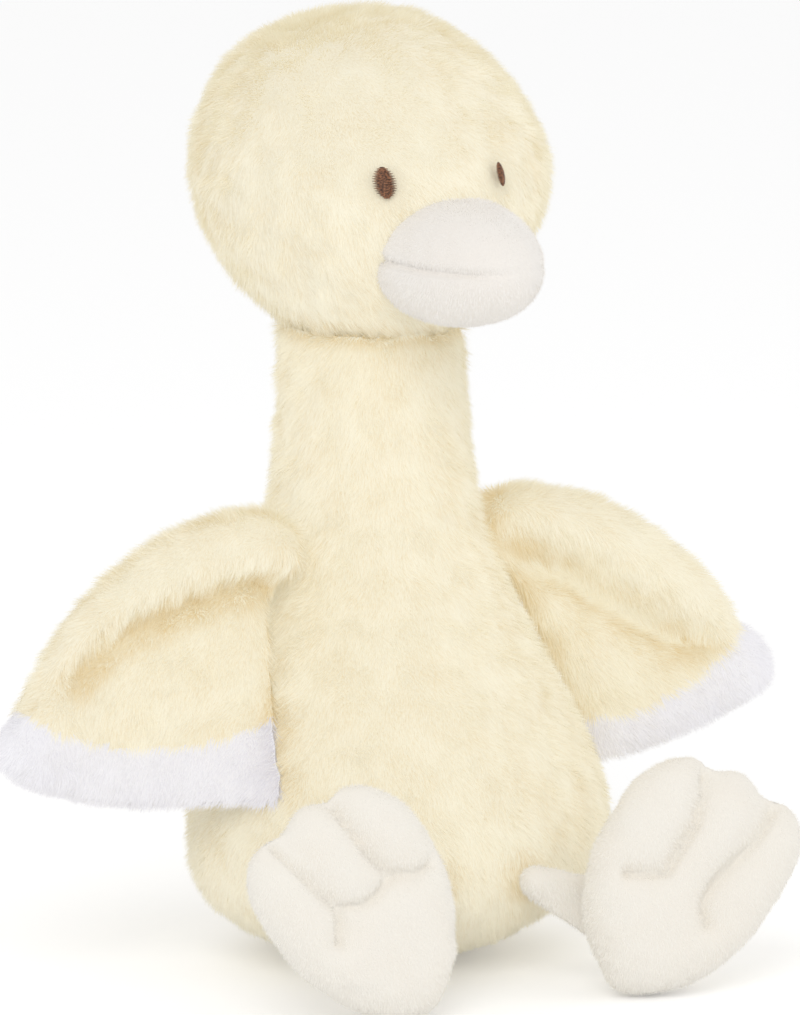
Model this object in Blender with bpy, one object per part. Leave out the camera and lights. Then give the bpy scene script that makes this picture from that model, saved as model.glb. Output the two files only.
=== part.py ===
"""Seated plush duck: sewn covers over stuffing, with a nodding head, wings, legs and feet.

Metres, +Z up. The duck faces -Y and its right side is -X. The origin is the middle of its flat seat.
"""

import math

import bmesh
import bpy
from mathutils import Matrix, Vector

for old in list(bpy.data.objects):
    bpy.data.objects.remove(old)

# Cloth and fits
COVER_WALL = 0.0020
PANEL_WALL = 0.0015
GAP = 0.0003
HEAD_CLEARANCE = 0.0005
SHOULDER_CLEARANCE = 0.0008
STUFFING_EASE = 0.0010

# Body and neck, one cover
NECK_TOP = 0.206
BODY_HALF_WIDTH = 0.0665
BODY_HALF_DEPTH = 0.0570
NECK_RADIUS = 0.0275
NECK_SETBACK = 0.0180
SEAT_SETBACK = 0.0100
BAG_TOP = 0.0190
BODY_SIDES = 28

# Height share of the neck's top, and how far the width has gone from neck to belly
BODY_PROFILE_SHARES = (
    (0.000, -0.345), (0.0095, -0.08), (0.024, 0.17), (0.048, 0.45), (0.073, 0.64), (0.097, 0.78), (0.121, 0.88),
    (0.146, 0.95), (0.195, 1.00), (0.262, 0.95),
    (0.335, 0.83), (0.398, 0.69), (0.456, 0.55), (0.512, 0.415), (0.565, 0.29), (0.625, 0.18),
    (0.690, 0.10), (0.760, 0.05), (0.880, 0.01), (1.000, 0.00),
)
# Height shares between which the neck goes back from over the seat
SETBACK_START_SHARE = 0.12
SETBACK_END_SHARE = 0.74
# Height share up to which the bottom rounds forward from the small flat seat
SEAT_END_SHARE = 0.19

# Head
HEAD_HEIGHT = 0.2405
HEAD_SEAT_RADIUS = 0.0515
HEAD_HALF_WIDTH = 0.0543
HEAD_BACK_SWELL = 0.0030
CROWN_SETBACK = 0.0065
HEAD_CROWN = 0.0498
HEAD_OPENING_RADIUS = 0.0200
HEAD_SIDES = 24
HEAD_ROWS = 11
NOD_UP_ANGLE = math.radians(50)
CROWN_BACK_ANGLE = math.radians(130)
CROWN_END_ANGLE = math.radians(172)

# Bill
BILL_HALF_WIDTH = 0.0225
BILL_HALF_LENGTH = 0.0370
BILL_HALF_HEIGHT = 0.0192
BILL_SETBACK = 0.0345
BILL_DROP = 0.0190
BILL_HEIGHT = HEAD_HEIGHT - BILL_DROP
MOUTH_RISE = 0.0010
MOUTH_HEIGHT = BILL_HEIGHT + MOUTH_RISE

# Eyes
EYE_HALF_WIDTH = 0.0033
EYE_HALF_HEIGHT = 0.0049
EYE_HALF_THICKNESS = 0.0016
EYE_RISE = 0.0056
RIGHT_EYE_SPREAD = 0.0220
LEFT_EYE_SPREAD = 0.0168
EYE_SPREAD = {-1: RIGHT_EYE_SPREAD, 1: LEFT_EYE_SPREAD}

# Wings, in their own plane: outward from the shoulder and up.
# -1 is the right side and 1 the left: the soft wings hang a little differently.
SHOULDER_HEIGHT = 0.1310
SHOULDER_TO_FRONT = math.radians(15)
WING_SWEEP = {-1: math.radians(1), 1: math.radians(4)}
ROLL_RADIUS = 0.0115
ROLL_DEPTH = 0.0100
ROLL_TIP_DEPTH = 0.0060
RIGHT_WING_REACH = 0.0850
LEFT_WING_REACH = 0.0771
WING_REACH = {-1: RIGHT_WING_REACH, 1: LEFT_WING_REACH}
RIGHT_WING_DROP = 0.0430
LEFT_WING_DROP = 0.0392
WING_DROP = {-1: RIGHT_WING_DROP, 1: LEFT_WING_DROP}
WING_ARCH_OUT = 0.0525
RIGHT_WING_ARCH_UP = 0.0135
LEFT_WING_ARCH_UP = 0.0020
WING_ARCH_UP = {-1: RIGHT_WING_ARCH_UP, 1: LEFT_WING_ARCH_UP}
RIGHT_WING_INNER_OUT = 0.0050
LEFT_WING_INNER_OUT = 0.0215
WING_INNER_OUT = {-1: RIGHT_WING_INNER_OUT, 1: LEFT_WING_INNER_OUT}
RIGHT_WING_INNER_DROP = 0.0495
LEFT_WING_INNER_DROP = 0.0650
WING_INNER_DROP = {-1: RIGHT_WING_INNER_DROP, 1: LEFT_WING_INNER_DROP}
RIGHT_WING_SAG = 0.0230
LEFT_WING_SAG = 0.0160
WING_SAG = {-1: RIGHT_WING_SAG, 1: LEFT_WING_SAG}
WING_PANEL_DEPTH = 0.0030
PANEL_ROOT_DEPTH_SHARE = 0.65
PANEL_START_SHARE = 0.3
RIGHT_TRIM_OUTER_OUT = 0.0865
LEFT_TRIM_OUTER_OUT = 0.0870
TRIM_OUTER_OUT = {-1: RIGHT_TRIM_OUTER_OUT, 1: LEFT_TRIM_OUTER_OUT}
RIGHT_TRIM_OUTER_DROP = 0.0625
LEFT_TRIM_OUTER_DROP = 0.0600
TRIM_OUTER_DROP = {-1: RIGHT_TRIM_OUTER_DROP, 1: LEFT_TRIM_OUTER_DROP}
RIGHT_TRIM_INNER_OUT = 0.0097
LEFT_TRIM_INNER_OUT = 0.0235
TRIM_INNER_OUT = {-1: RIGHT_TRIM_INNER_OUT, 1: LEFT_TRIM_INNER_OUT}
RIGHT_TRIM_INNER_DROP = 0.0705
LEFT_TRIM_INNER_DROP = 0.0775
TRIM_INNER_DROP = {-1: RIGHT_TRIM_INNER_DROP, 1: LEFT_TRIM_INNER_DROP}
TRIM_SAG_OUT = 0.0500
RIGHT_TRIM_SAG_DROP = 0.0810
LEFT_TRIM_SAG_DROP = 0.0780
TRIM_SAG_DROP = {-1: RIGHT_TRIM_SAG_DROP, 1: LEFT_TRIM_SAG_DROP}
TRIM_BULGE = 0.0060
TRIM_RIM = 0.0015
DRAPE_OUTER = 0.0080
RIGHT_DRAPE_INNER = 0.0346
LEFT_DRAPE_INNER = 0.0030
DRAPE_INNER = {-1: RIGHT_DRAPE_INNER, 1: LEFT_DRAPE_INNER}
RIM_INSET_SHARE = 0.16
RIM_DEPTH_SHARE = 0.12
CAP_SHARE = 0.25
CAP_ANGLE = math.radians(72)
CREASE_DEPTH = 0.0015
CREASE_WIDTH = 0.0030

# Feet, in their own plane: across and along from the heel
FOOT_LENGTH = 0.0725
FOOT_HALF_WIDTH = 0.0297
FOOT_HALF_DEPTH = 0.0085
FOOT_SPLAY = {-1: math.radians(31), 1: math.radians(34)}
FOOT_LEAN = math.radians(8)
FOOT_TURN = {-1: 0.0, 1: math.radians(-14)}
RIGHT_HEEL_OUT = 0.0328
LEFT_HEEL_OUT = 0.0333
HEEL_OUT = {-1: RIGHT_HEEL_OUT, 1: LEFT_HEEL_OUT}
RIGHT_HEEL_FORWARD = 0.0765
LEFT_HEEL_FORWARD = 0.0800
HEEL_FORWARD = {-1: RIGHT_HEEL_FORWARD, 1: LEFT_HEEL_FORWARD}
FLAT_CUT = 0.0005
HEEL_ROUND = 0.0060
TOE_NOTCH = 0.0045
TOE_GROOVE = 0.0035
TOE_GROOVE_WIDTH_SHARE = 0.08
TOE_START_SHARE = 0.50
TOE_FADE_SHARE = 0.08
INNER_TOE_DROP = 0.0095
OUTER_TOE_DROP = 0.0030
# Along share and width share of the foot's outline
FOOT_OUTLINE_SHARES = ((0.0, 0.36), (0.1, 0.62), (0.25, 0.85), (0.45, 1.0), (0.7, 1.03), (0.9, 0.98), (1.0, 0.88))

# Legs
RIGHT_HIP_OUT = 0.0195
LEFT_HIP_OUT = 0.0150
HIP_OUT = {-1: RIGHT_HIP_OUT, 1: LEFT_HIP_OUT}
HIP_HEIGHT = 0.0335
HIP_RADIUS = 0.0055
LEG_END_WIDTH = 0.0160
LEG_END_HEIGHT = 0.0125
LEG_END_ACROSS_SHARE = -0.10
LEG_END_ALONG_SHARE = 0.29
LEG_SIDES = 12
LEG_STEPS = 4

# Tail
TAIL_HEIGHT = 0.0480
TAIL_ROOT_INSIDE = 0.0120
TAIL_LENGTH = 0.0340
TAIL_HALF_WIDTH = 0.0150
TAIL_HALF_THICKNESS = 0.0095
TAIL_RISE = math.radians(38)
TAIL_SIDES = 12
TAIL_ROWS = 6
TAIL_END_SHARE = 0.98
TAIL_BLUNTNESS = 2.4


# Materials

def cloth(name, color, roughness):
    made = bpy.data.materials.new(name)
    made.use_nodes = True
    shader = made.node_tree.nodes["Principled BSDF"]
    shader.inputs["Base Color"].default_value = (*color, 1.0)
    shader.inputs["Roughness"].default_value = roughness
    shader.inputs["Metallic"].default_value = 0.0
    made.diffuse_color = (*color, 1.0)
    return made


FUR = (0.86, 0.78, 0.58)
VELOUR = (0.84, 0.80, 0.74)
WHITE_PLUSH = (0.78, 0.76, 0.82)
THREAD = (0.10, 0.045, 0.022)
FIBRE = (0.90, 0.90, 0.88)
LINING = (0.75, 0.73, 0.68)


# Making and placing pieces

def piece(name, bm, color, roughness=0.9):
    """A named object from a closed mesh, shaded smooth, with its own material."""
    bmesh.ops.recalc_face_normals(bm, faces=bm.faces)
    mesh = bpy.data.meshes.new(name)
    bm.to_mesh(mesh)
    bm.free()
    mesh.shade_smooth()
    mesh.set_sharp_from_angle(angle=math.radians(50))
    mesh.materials.append(cloth(name, color, roughness))
    made = bpy.data.objects.new(name, mesh)
    bpy.context.scene.collection.objects.link(made)
    return made


def pivot(name, place):
    made = bpy.data.objects.new(name, None)
    made.location = place
    bpy.context.scene.collection.objects.link(made)
    return made


def hang(made, carrier, place):
    """Put a piece's origin on its joint and parent it to the joint's empty."""
    made.data.transform(Matrix.Translation(-place))
    made.parent = carrier


def guide(made):
    made.hide_render = True
    made.display_type = "WIRE"
    return made


def cut(made, cutter):
    subtraction = made.modifiers.new("cut", "BOOLEAN")
    subtraction.operation = "DIFFERENCE"
    subtraction.solver = "EXACT"
    subtraction.object = cutter


def mix(low, high, share):
    return low + (high - low) * share


def eased(value, start, end):
    """0 before start, 1 after end, smooth between."""
    share = min(max((value - start) / (end - start), 0.0), 1.0)
    return share * share * (3 - 2 * share)


def table(rows, place):
    """Read a table of (place, value) rows with straight lines between them."""
    for low, high in zip(rows, rows[1:]):
        if place <= high[0]:
            return mix(low[1], high[1], (place - low[0]) / (high[0] - low[0]))
    return rows[-1][1]


def loft(rings):
    """One closed skin over a row of rings, with a face at each end."""
    bm = bmesh.new()
    loops = []
    for ring in rings:
        made = bmesh.ops.create_circle(bm, segments=len(ring), radius=1)
        for vert, place in zip(made["verts"], ring):
            vert.co = place
        loops.append(list({edge for vert in made["verts"] for edge in vert.link_edges}))
    for low, high in zip(loops, loops[1:]):
        bmesh.ops.bridge_loops(bm, edges=low + high)
    bmesh.ops.holes_fill(bm, edges=loops[0] + loops[-1])
    return bm


def pillow(across, along, place):
    """A stuffed piece: a front and a back grid, joined round their rims."""
    bm = bmesh.new()
    for face in (1, -1):
        made = bmesh.ops.create_grid(bm, x_segments=across, y_segments=along, size=1)
        for vert in made["verts"]:
            vert.co = place(vert.co.x, vert.co.y, face)
    rim = [edge for edge in bm.edges if edge.is_boundary]
    bmesh.ops.bridge_loops(bm, edges=rim)
    # The same diagonals in every layer, so that bent squares lie parallel
    bmesh.ops.triangulate(bm, faces=bm.faces, quad_method="FIXED")
    return bm


def inside_rim(across, along):
    """Keep a filling's outermost points off the seam, where its hollow narrows to nothing."""
    limit = 1 - RIM_INSET_SHARE
    held = (min(max(across, -limit), limit), min(max(along, -limit), limit))
    return *held, 1.0 if held == (across, along) else RIM_DEPTH_SHARE


# Turned profiles: rows of (half width, half depth, height, setback), bottom to top

def body_profile():
    rows = []
    for height_share, width_share in BODY_PROFILE_SHARES:
        half_width = mix(NECK_RADIUS, BODY_HALF_WIDTH, width_share)
        half_depth = mix(NECK_RADIUS, BODY_HALF_DEPTH, width_share)
        setback = NECK_SETBACK * eased(height_share, SETBACK_START_SHARE, SETBACK_END_SHARE)
        setback += SEAT_SETBACK * (1 - eased(height_share, 0.0, SEAT_END_SHARE))
        rows.append((half_width, half_depth, NECK_TOP * height_share, setback))
    return rows


def head_profile():
    """From the neck opening, round as a ball as far as the neck's seat reaches, to the crown."""
    start = math.asin(HEAD_OPENING_RADIUS / HEAD_SEAT_RADIUS)
    rows = []
    for row in range(HEAD_ROWS + 1):
        angle = mix(start, CROWN_END_ANGLE, row / HEAD_ROWS)
        side = eased(angle, NOD_UP_ANGLE, math.pi / 2)
        reach = mix(HEAD_SEAT_RADIUS, HEAD_HALF_WIDTH, side)
        if angle > math.pi / 2:
            reach = mix(HEAD_HALF_WIDTH, HEAD_CROWN, math.sin(angle - math.pi / 2) ** 2)
        half_width = reach * math.sin(angle)
        swell = HEAD_BACK_SWELL / 2 * side * math.sin(angle)
        setback = NECK_SETBACK + swell + CROWN_SETBACK * eased(angle, math.pi / 2, CROWN_BACK_ANGLE)
        rows.append((half_width, half_width + swell, HEAD_HEIGHT - reach * math.cos(angle), setback))
    return rows


def inset(rows, distance, floor=False):
    """The same profile, moved inward square to its surface."""
    moved = []
    for index, (half_width, half_depth, height, setback) in enumerate(rows):
        before = rows[max(index - 1, 0)]
        after = rows[min(index + 1, len(rows) - 1)]
        run = after[0] - before[0]
        rise = after[2] - before[2]
        length = math.hypot(run, rise)
        inward = distance * rise / length
        moved.append((half_width - inward, half_depth - inward, height + distance * run / length, setback))
    if floor:
        first = moved[0]
        moved[0] = (first[0], first[1], rows[0][2] + distance, first[3])
    return moved


def clip(rows, low, high):
    """The part of a profile between two heights."""
    kept = []
    for before, after in zip(rows, rows[1:]):
        for level in (low, high):
            if before[2] < level < after[2]:
                share = (level - before[2]) / (after[2] - before[2])
                kept.append(tuple(mix(a, b, share) for a, b in zip(before, after)))
    kept += [row for row in rows if low <= row[2] <= high]
    return sorted(kept, key=lambda row: row[2])


def rings(rows, sides):
    made = []
    for half_width, half_depth, height, setback in rows:
        turn = [2 * math.pi * side / sides for side in range(sides)]
        made.append([Vector((half_width * math.cos(a), setback + half_depth * math.sin(a), height)) for a in turn])
    return made


def body_at(height):
    """Half width, half depth, setback and side slope of the body at a height."""
    for before, after in zip(BODY, BODY[1:]):
        if height <= after[2]:
            share = (height - before[2]) / (after[2] - before[2])
            slope = (after[0] - before[0]) / (after[2] - before[2])
            width, depth, _, setback = (mix(low, high, share) for low, high in zip(before, after))
            return width, depth, setback, slope
    return BODY[-1][0], BODY[-1][1], BODY[-1][3], 0.0


BODY = body_profile()
HEAD = head_profile()


# Body and neck

def make_body():
    """A cover open at the neck, with a weight bag in its seat and stuffing above."""
    outer = rings(BODY, BODY_SIDES)
    inner = rings(inset(BODY, COVER_WALL, floor=True), BODY_SIDES)
    cover = piece("body_cover", loft(outer + inner[::-1]), FUR)
    inside = inset(BODY, COVER_WALL + GAP, floor=True)
    bag = clip(inside, 0.0, BAG_TOP)
    piece("bean_bag", loft(rings(bag, BODY_SIDES)), LINING)
    stuffing = clip(inside, BAG_TOP + GAP, NECK_TOP)
    filling = piece("body_filling", loft(rings(stuffing, BODY_SIDES)), FIBRE)
    seat = bmesh.new()
    bmesh.ops.create_uvsphere(seat, u_segments=32, v_segments=24, radius=HEAD_SEAT_RADIUS + HEAD_CLEARANCE)
    bmesh.ops.translate(seat, verts=seat.verts, vec=Vector((0.0, NECK_SETBACK, HEAD_HEIGHT)))
    seat_cutter = guide(piece("neck_seat_cutter", seat, FIBRE))
    cut(cover, seat_cutter)
    cut(filling, seat_cutter)


def make_tail():
    """A small stuffed fur tail, sewn low on the back and pointing up."""
    setback, root_depth = body_at(TAIL_HEIGHT)[2], body_at(TAIL_HEIGHT)[1]
    root = Vector((0.0, setback + root_depth - TAIL_ROOT_INSIDE, TAIL_HEIGHT))
    out = Vector((0.0, math.cos(TAIL_RISE), math.sin(TAIL_RISE)))
    up = Vector((0.0, -math.sin(TAIL_RISE), math.cos(TAIL_RISE)))
    across = Vector((1.0, 0.0, 0.0))
    reach = TAIL_LENGTH + TAIL_ROOT_INSIDE
    turn = [2 * math.pi * side / TAIL_SIDES for side in range(TAIL_SIDES)]
    made = []
    for row in range(TAIL_ROWS + 1):
        share = row / TAIL_ROWS
        size = math.sqrt(1 - (TAIL_END_SHARE * share) ** TAIL_BLUNTNESS)
        centre = root + out * (reach * share)
        made.append([centre + across * (TAIL_HALF_WIDTH * size * math.cos(a))
                     + up * (TAIL_HALF_THICKNESS * size * math.sin(a)) for a in turn])
    tail = piece("tail", loft(made), FUR)
    cut(tail, guide(piece("body_cutter", loft(rings(inset(BODY, -GAP), BODY_SIDES)), FIBRE)))


# Head

def make_head():
    """A round cover open at the neck, with its stuffing, a two-part bill and embroidered eyes."""
    centre = Vector((0.0, NECK_SETBACK, HEAD_HEIGHT))
    carrier = pivot("head_nod_axis", centre)
    outer = rings(HEAD, HEAD_SIDES)
    inner = rings(inset(HEAD, COVER_WALL), HEAD_SIDES)
    parts = [piece("head_cover", loft(outer[::-1] + inner), FUR)]
    parts.append(piece("head_filling", loft(rings(inset(HEAD, COVER_WALL + GAP), HEAD_SIDES)), FIBRE))
    head_cutter = guide(piece("head_cutter", loft(rings(inset(HEAD, -GAP), HEAD_SIDES)), FIBRE))
    for name, keep_above in (("beak_upper", True), ("beak_lower", False)):
        parts.append(piece(name, bill_half(keep_above), VELOUR, 0.85))
        cut(parts[-1], head_cutter)
    for name, side in (("eye_right", -1), ("eye_left", 1)):
        parts.append(piece(name, eye_patch(side), THREAD, 0.5))
        cut(parts[-1], head_cutter)
    for made in parts + [head_cutter]:
        hang(made, carrier, centre)


def bill_half(keep_above):
    """Half of a wide rounded bill, flat where it meets the other half at the mouth seam."""
    bm = bmesh.new()
    bmesh.ops.create_uvsphere(bm, u_segments=20, v_segments=12, radius=1)
    for vert in bm.verts:
        x, y, z = vert.co
        squarer = math.copysign(abs(x) ** 0.88, x)
        vert.co = Vector((BILL_HALF_WIDTH * squarer, BILL_HALF_LENGTH * y - BILL_SETBACK,
                          BILL_HALF_HEIGHT * z + BILL_HEIGHT))
    seam = MOUTH_HEIGHT + (GAP / 2 if keep_above else -GAP / 2)
    facing = Vector((0.0, 0.0, 1.0 if keep_above else -1.0))
    bmesh.ops.bisect_plane(bm, geom=bm.verts[:] + bm.edges[:] + bm.faces[:],
                           plane_co=Vector((0.0, 0.0, seam)), plane_no=facing, clear_inner=True)
    bmesh.ops.holes_fill(bm, edges=[edge for edge in bm.edges if edge.is_boundary])
    return bm


def eye_patch(side):
    """A low oval of thread lying on the head."""
    aside = math.asin(EYE_SPREAD[side] / HEAD_HALF_WIDTH)
    above = math.asin(EYE_RISE / HEAD_HALF_WIDTH)
    bm = bmesh.new()
    bmesh.ops.create_uvsphere(bm, u_segments=14, v_segments=8, radius=1)
    bmesh.ops.scale(bm, verts=bm.verts, vec=Vector((EYE_HALF_WIDTH, EYE_HALF_THICKNESS, EYE_HALF_HEIGHT)))
    bmesh.ops.translate(bm, verts=bm.verts, vec=Vector((0.0, -HEAD_HALF_WIDTH, 0.0)))
    turn = Matrix.Rotation(side * aside, 4, "Z") @ Matrix.Rotation(-above, 4, "X")
    bmesh.ops.transform(bm, verts=bm.verts, matrix=turn)
    bmesh.ops.translate(bm, verts=bm.verts, vec=Vector((0.0, NECK_SETBACK, HEAD_HEIGHT)))
    return bm


# Wings

def curve_point(first, control, last, share):
    """A point on a three-point curve."""
    return first * (1 - share) ** 2 + control * (2 * share * (1 - share)) + last * share ** 2


def wing_edges(side, span):
    """The leading and the inner edge of a wing at a share of its span, out and up."""
    lead = curve_point(Vector((0.0, ROLL_RADIUS)), Vector((WING_ARCH_OUT, WING_ARCH_UP[side])),
                       Vector((WING_REACH[side], -WING_DROP[side])), span)
    inner = curve_point(Vector((0.0, -ROLL_RADIUS)), Vector((0.0, -WING_INNER_DROP[side] / 2)),
                        Vector((WING_INNER_OUT[side], -WING_INNER_DROP[side])), span)
    return lead, inner


def wing_section(side, span, across):
    """A point of the wing's middle surface, its hollow's half depth and the length of its section."""
    lead, inner = wing_edges(side, span)
    sag = (lead + inner) / 2 - Vector((0.0, WING_SAG[side] * span * span))
    share = across ** (1 + span / 2)
    length = (lead - inner).length
    along = share * length
    roll = mix(ROLL_RADIUS, ROLL_RADIUS * 0.8, span)
    depth = mix(ROLL_DEPTH, ROLL_TIP_DEPTH, span)
    height = 0.0
    if along < 2 * roll:
        height = depth * math.sqrt(max(1 - ((along - roll) / roll) ** 2, 0.0))
    begun = eased(span, 0.0, PANEL_START_SHARE)
    panel = WING_PANEL_DEPTH * math.sqrt(max(1 - share ** 8, 0.0)) * mix(PANEL_ROOT_DEPTH_SHARE, 1.0, begun)
    crease = CREASE_DEPTH * math.exp(-((along - 2 * roll) / CREASE_WIDTH) ** 2) * (1 - span)
    return curve_point(lead, sag, inner, share), max(height, panel - crease * begun), share


def drape(side, span, share):
    """How far the lower part of the wing is pushed forward by the belly."""
    total = span * WING_DROP[side] / TRIM_INNER_DROP[side]
    return total * mix(DRAPE_OUTER, DRAPE_INNER[side], share ** 3)


class WingFrame:
    """The plane in which a wing lies: from its shoulder joint outward, upward and to the front."""

    def __init__(self, side):
        half_width, half_depth, setback, slope = body_at(SHOULDER_HEIGHT)
        reach = half_width + (ROLL_RADIUS + SHOULDER_CLEARANCE) * math.hypot(1, slope)
        sweep = WING_SWEEP[side]
        self.side = side
        self.shoulder = Vector((side * math.cos(SHOULDER_TO_FRONT) * reach,
                                setback - math.sin(SHOULDER_TO_FRONT) * reach, SHOULDER_HEIGHT))
        self.out = Vector((side * math.cos(sweep), math.sin(sweep), 0.0))
        self.front = Vector((side * math.sin(sweep), -math.cos(sweep), 0.0))

    def place(self, flat, forward):
        up = Vector((0.0, 0.0, 1.0))
        return self.shoulder + self.out * flat.x + up * flat.y + self.front * forward


def wing_surface(frame, across, along, layer):
    """A point of one wing layer: 1 is the outside of the front panel, 0 its inside, -1 the back's outside."""
    share = (across + 1) / 2
    step = (along + 1) / 2
    if step < CAP_SHARE:
        angle = CAP_ANGLE * (1 - step / CAP_SHARE)
        flat = Vector((-ROLL_RADIUS * math.sin(angle), ROLL_RADIUS * math.cos(angle) * (1 - 2 * share)))
        depth = ROLL_DEPTH * math.cos(angle) * math.sqrt(max(1 - across ** 2, 0.0))
        forward = 0.0
    else:
        span = (step - CAP_SHARE) / (1 - CAP_SHARE)
        flat, depth, share = wing_section(frame.side, span, share)
        forward = drape(frame.side, span, share)
    return frame.place(flat, forward + layer(depth))


def make_wing(side, name):
    """Two fur panels sewn round their rims over stuffing, with a plush band along the lower edge."""
    frame = WingFrame(side)
    carrier = pivot(name + "_lift_axis", frame.shoulder)

    def panel(facing):
        def place(across, along, face):
            if face > 0:
                return wing_surface(frame, across, along, lambda depth: facing * (depth + PANEL_WALL))
            return wing_surface(frame, across, along, lambda depth: facing * max(depth, GAP / 2))
        return place

    def filling(across, along, face):
        across, along, part = inside_rim(across, along)
        return wing_surface(frame, across, along, lambda depth: face * part * (depth - STUFFING_EASE))

    def trim(across, along, face):
        share = (across + 1) / 2
        drop = (along + 1) / 2
        top, depth, share = wing_section(side, 1.0, share)
        bottom = curve_point(Vector((TRIM_OUTER_OUT[side], -TRIM_OUTER_DROP[side])),
                             Vector((TRIM_SAG_OUT, -TRIM_SAG_DROP[side])),
                             Vector((TRIM_INNER_OUT[side], -TRIM_INNER_DROP[side])), share)
        flat = top + Vector((0.0, -GAP)) + (bottom - top) * drop
        flat += Vector((TRIM_BULGE * math.sin(math.pi * drop) * (1 - share) ** 6, 0.0))
        forward = mix(drape(side, 1.0, share), mix(DRAPE_OUTER, DRAPE_INNER[side], share ** 3), drop)
        fade = math.sqrt(max(1 - drop ** 4, 0.0))
        half = max((depth + PANEL_WALL) * fade, TRIM_RIM)
        return frame.place(flat, forward + face * half)

    parts = [piece(name + "_front", pillow(10, 12, panel(1)), FUR)]
    parts.append(piece(name + "_back", pillow(10, 12, panel(-1)), FUR))
    parts.append(piece(name + "_filling", pillow(10, 12, filling), FIBRE))
    parts.append(piece(name + "_trim", pillow(12, 4, trim), WHITE_PLUSH))
    for made in parts:
        hang(made, carrier, frame.shoulder)


# Feet and legs

class FootFrame:
    """The plane in which a foot lies: across, along from heel to toes, and to the front."""

    def __init__(self, side):
        turn = Matrix.Rotation(FOOT_TURN[side], 3, "Z") @ Matrix.Rotation(-FOOT_LEAN, 3, "X")
        turn = turn @ Matrix.Rotation(side * FOOT_SPLAY[side], 3, "Y")
        self.side = side
        self.along = turn @ Vector((0.0, 0.0, 1.0))
        self.across = turn @ Vector((float(side), 0.0, 0.0))
        self.front = turn @ Vector((0.0, -1.0, 0.0))
        self.heel = Vector((side * HEEL_OUT[side], -HEEL_FORWARD[side], 0.0))
        lowest = min(self.place(step / 12, 0.0, 0.0).z for step in range(-12, 13))
        self.heel.z = -lowest - FLAT_CUT

    def outline(self, across, along):
        reach = FOOT_LENGTH
        reach -= TOE_NOTCH * (1 - math.sqrt(abs(math.cos(1.5 * math.pi * across)))) * along ** 3
        reach -= INNER_TOE_DROP * max(-across, 0.0) ** 2 + OUTER_TOE_DROP * max(across, 0.0) ** 2
        down = HEEL_ROUND * (1 - across ** 2) * (1 - along)
        return FOOT_HALF_WIDTH * table(FOOT_OUTLINE_SHARES, along) * across, reach * along - down

    def place(self, across, along, forward):
        wide, long = self.outline(across, along)
        return self.heel + self.across * wide + self.along * long + self.front * forward


def foot_depth(across, along, grooved):
    """Half depth of the foot's hollow, less along the stitching between its toes."""
    depth = FOOT_HALF_DEPTH * math.sqrt(max(1 - across ** 4, 0.0))
    depth *= math.sqrt(max(1 - abs(2 * along - 1) ** 5, 0.0))
    if grooved:
        near = math.exp(-((abs(across) - 1 / 3) / TOE_GROOVE_WIDTH_SHARE) ** 2)
        depth -= min(TOE_GROOVE, depth) * near * eased(along, TOE_START_SHARE - TOE_FADE_SHARE,
                                                      TOE_START_SHARE + TOE_FADE_SHARE)
    return depth


def make_foot(side, name):
    """Two velour panels over stuffing, the front one stitched into three toes."""
    frame = FootFrame(side)

    def panel(facing):
        def place(across, along, face):
            along = (along + 1) / 2
            depth = foot_depth(across, along, facing > 0)
            offset = depth + PANEL_WALL if face > 0 else max(depth, GAP / 2)
            return frame.place(across, along, facing * offset)
        return place

    def filling(across, along, face):
        across, along, part = inside_rim(across, along)
        along = (along + 1) / 2
        under_stitching = TOE_GROOVE if face > 0 else 0.0
        depth = (foot_depth(across, along, False) - STUFFING_EASE) * part - under_stitching
        return frame.place(across, along, max(depth, GAP) if face > 0 else -depth)

    parts = [piece(name + "_sole", pillow(12, 9, panel(1)), VELOUR, 0.85)]
    parts.append(piece(name + "_top", pillow(12, 9, panel(-1)), VELOUR, 0.85))
    parts.append(piece(name + "_filling", pillow(12, 9, filling), FIBRE))
    for made in parts[:2]:
        rest_flat(made)
    across, along = LEG_END_ACROSS_SHARE, LEG_END_ALONG_SHARE
    end = frame.place(across, along, -foot_depth(across, along, False) - PANEL_WALL - GAP)
    ankle = end - Vector((0.0, 0.0, LEG_END_HEIGHT))
    carrier = pivot(name + "_tip_axis", ankle)
    for made in parts:
        hang(made, carrier, ankle)
    return frame, end, carrier


def rest_flat(made):
    """Cut off what would reach below the surface that the duck sits on."""
    bm = bmesh.new()
    bm.from_mesh(made.data)
    bmesh.ops.bisect_plane(bm, geom=bm.verts[:] + bm.edges[:] + bm.faces[:], plane_co=Vector((0.0, 0.0, 0.0)),
                           plane_no=Vector((0.0, 0.0, -1.0)), clear_outer=True)
    bmesh.ops.holes_fill(bm, edges=[edge for edge in bm.edges if edge.is_boundary])
    bm.to_mesh(made.data)
    bm.free()


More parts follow.
